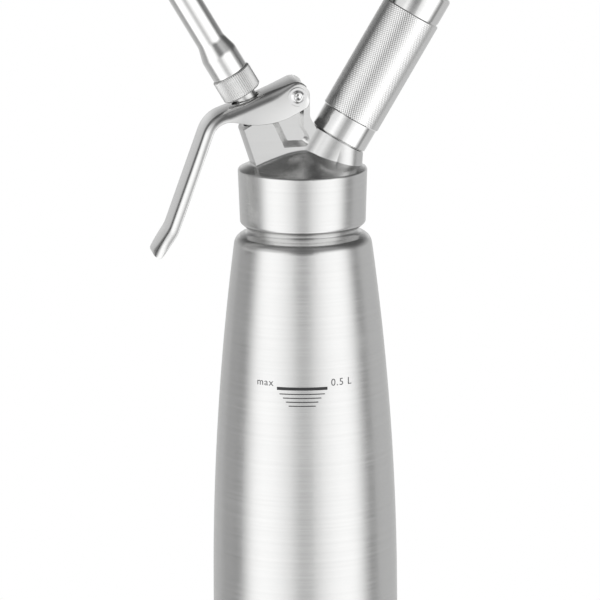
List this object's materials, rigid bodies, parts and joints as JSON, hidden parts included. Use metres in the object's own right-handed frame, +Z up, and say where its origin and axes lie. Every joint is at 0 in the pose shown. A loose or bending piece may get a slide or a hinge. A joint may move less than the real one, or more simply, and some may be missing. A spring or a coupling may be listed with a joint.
{
  "type": "cream whipper",
  "caption": "Gas-charged cream whipper: steel bottle with a screw-on head, squeeze lever working a spring valve, pouring nozzle and knurled gas charger holder.",
  "frame": {"origin": "centre of the bottle's flat base", "axes": "+Z up along the bottle axis, +X towards the charger holder, -X towards the lever and the nozzle"},
  "size_m": [0.1295, 0.08, 0.2948],
  "materials": {
    "satin_steel": "satin brushed stainless steel",
    "cast_steel": "satin turned and milled stainless steel",
    "knurled_steel": "turned stainless steel with a knurled grip",
    "turned_steel": "bright turned stainless steel",
    "bright_steel": "polished",
    "charger_steel": "plated drawn steel",
    "spring_steel": "drawn spring wire",
    "brass": "turned",
    "filter_metal": "sintered, porous",
    "silicone": "soft food-safe rubber",
    "fill_mark": "printed fill mark"
  },
  "bodies": {
    "bottle": {"bottle": "satin_steel"},
    "head_gasket": {"head_gasket": "silicone"},
    "head": {"head_body": "cast_steel", "valve_gland": "brass", "valve_spring": "spring_steel", "pivot_screw": "bright_steel", "pivot_nut": "bright_steel", "piercing_seal": "silicone", "piercing_bush": "brass", "piercing_pin": "bright_steel", "gas_filter": "filter_metal", "check_valve": "silicone"},
    "lever": {"lever": "satin_steel"},
    "valve": {"valve_stem": "turned_steel", "stem_o_rings": "silicone", "valve_seal": "silicone", "valve_nut": "turned_steel"},
    "nozzle_gasket": {"nozzle_gasket": "silicone"},
    "nozzle": {"nozzle_nut": "turned_steel", "nozzle_tube": "turned_steel"},
    "charger": {"charger": "charger_steel", "charger_cap": "charger_steel"},
    "charger_holder": {"charger_holder": "knurled_steel"}
  },
  "joints": [
    {"name": "head_lift", "type": "slide", "parent": "bottle", "child": "head_gasket", "axis": [0, 0, 1], "range_m": [0, 0.009]},
    {"name": "head_turn", "type": "hinge", "parent": "head_gasket", "child": "head", "pos_m": [0, 0, 0.19], "axis": [0, 0, 1], "range_deg": [0, 1080]},
    {"name": "lever_press", "type": "hinge", "parent": "head", "child": "lever", "pos_m": [-0.0034, 0, 0.2408], "axis": [0, -1, 0], "range_deg": [0, 9], "stiffness_Nm_per_rad": 1.1, "springref_deg": -12.03},
    {"name": "valve_stroke", "type": "slide", "parent": "head", "child": "valve", "axis": [0.5075, 0, -0.8616], "range_m": [0, 0.0031], "deforming": ["valve_spring"]},
    {"name": "nozzle_lift", "type": "slide", "parent": "valve", "child": "nozzle_gasket", "axis": [-0.5075, 0, 0.8616], "range_m": [0, 0.006]},
    {"name": "nozzle_turn", "type": "hinge", "parent": "nozzle_gasket", "child": "nozzle", "pos_m": [0, 0, 0.1979], "axis": [-0.5075, 0, 0.8616], "range_deg": [0, 1440]},
    {"name": "charger_lift", "type": "slide", "parent": "head", "child": "charger", "axis": [0.512, 0, 0.859], "range_m": [0, 0.0075]},
    {"name": "holder_turn", "type": "hinge", "parent": "charger", "child": "charger_holder", "pos_m": [0, 0, 0.1944], "axis": [0.512, 0, 0.859], "range_deg": [0, 1800]}
  ],
  "couplings": [
    {"joint": "head_turn", "follows": "head_lift", "rad_per_m": 2094.4},
    {"joint": "valve_stroke", "follows": "lever_press", "m_per_rad": 0.01915},
    {"joint": "nozzle_turn", "follows": "nozzle_lift", "rad_per_m": 4188.8},
    {"joint": "holder_turn", "follows": "charger_lift", "rad_per_m": 4188.8}
  ]
}
